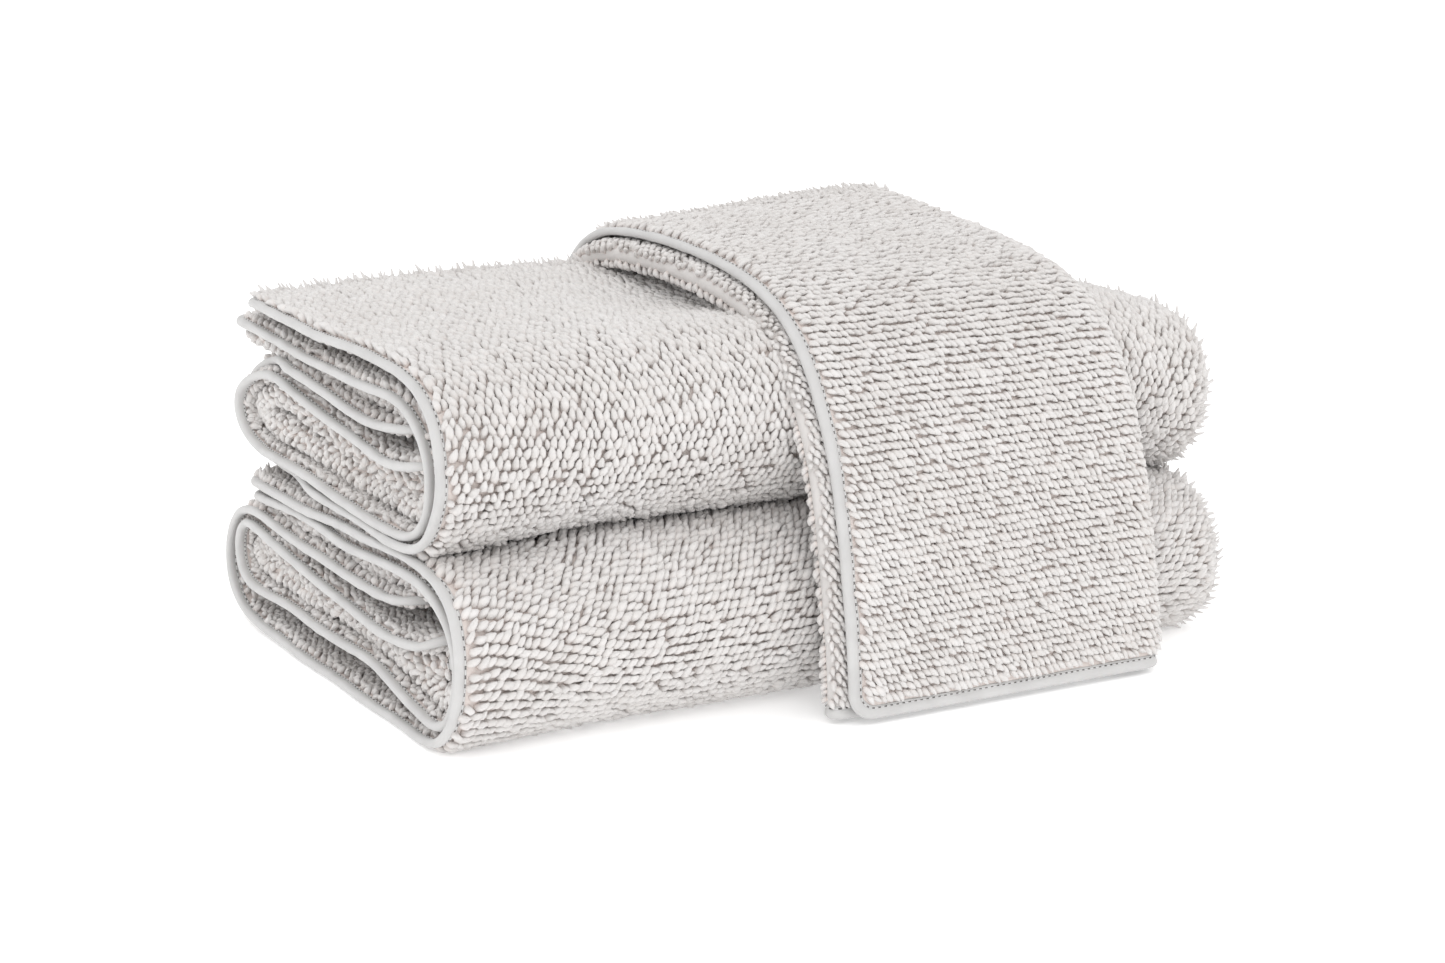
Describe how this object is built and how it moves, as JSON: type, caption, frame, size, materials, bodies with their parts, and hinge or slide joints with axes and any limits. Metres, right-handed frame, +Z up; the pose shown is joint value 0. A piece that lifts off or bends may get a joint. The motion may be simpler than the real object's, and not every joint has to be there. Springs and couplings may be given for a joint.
{
  "type": "bath towel set",
  "caption": "Stack of folded, thick looped terry bath towels with bound edges, and a folded hand towel draped over the stack from front to back.",
  "frame": {"origin": "bottom centre of the whole set, on the surface it rests on", "axes": "+Z up; +X from the bound ends of the folded bath towels towards their folded ends; +Y from the front towards the back, where the hand towel's spare length lies"},
  "size_m": [0.35, 0.499, 0.1688],
  "materials": {
    "terry_cloth": "off-white twisted-loop cotton terry, matt",
    "edge_tape": "pale grey plain-woven cotton tape, slight sheen",
    "sewing_thread": "pale grey cotton sewing thread"
  },
  "bodies": {
    "lower_bath_towel": {"lower_bath_towel_terry": "terry_cloth", "lower_bath_towel_binding": "edge_tape", "lower_bath_towel_stitching": "sewing_thread"},
    "upper_bath_towel": {"upper_bath_towel_terry": "terry_cloth", "upper_bath_towel_binding": "edge_tape", "upper_bath_towel_stitching": "sewing_thread"},
    "hand_towel": {"hand_towel_terry": "terry_cloth", "hand_towel_binding": "edge_tape", "hand_towel_stitching": "sewing_thread"}
  },
  "joints": [
    {"name": "upper_towel_lift", "type": "slide", "parent": "lower_bath_towel", "child": "upper_bath_towel", "axis": [0, 0, 1], "range_m": [0, 0.2]},
    {"name": "hand_towel_lift", "type": "slide", "parent": "upper_bath_towel", "child": "hand_towel", "axis": [0, 0, 1], "range_m": [0, 0.25]}
  ]
}
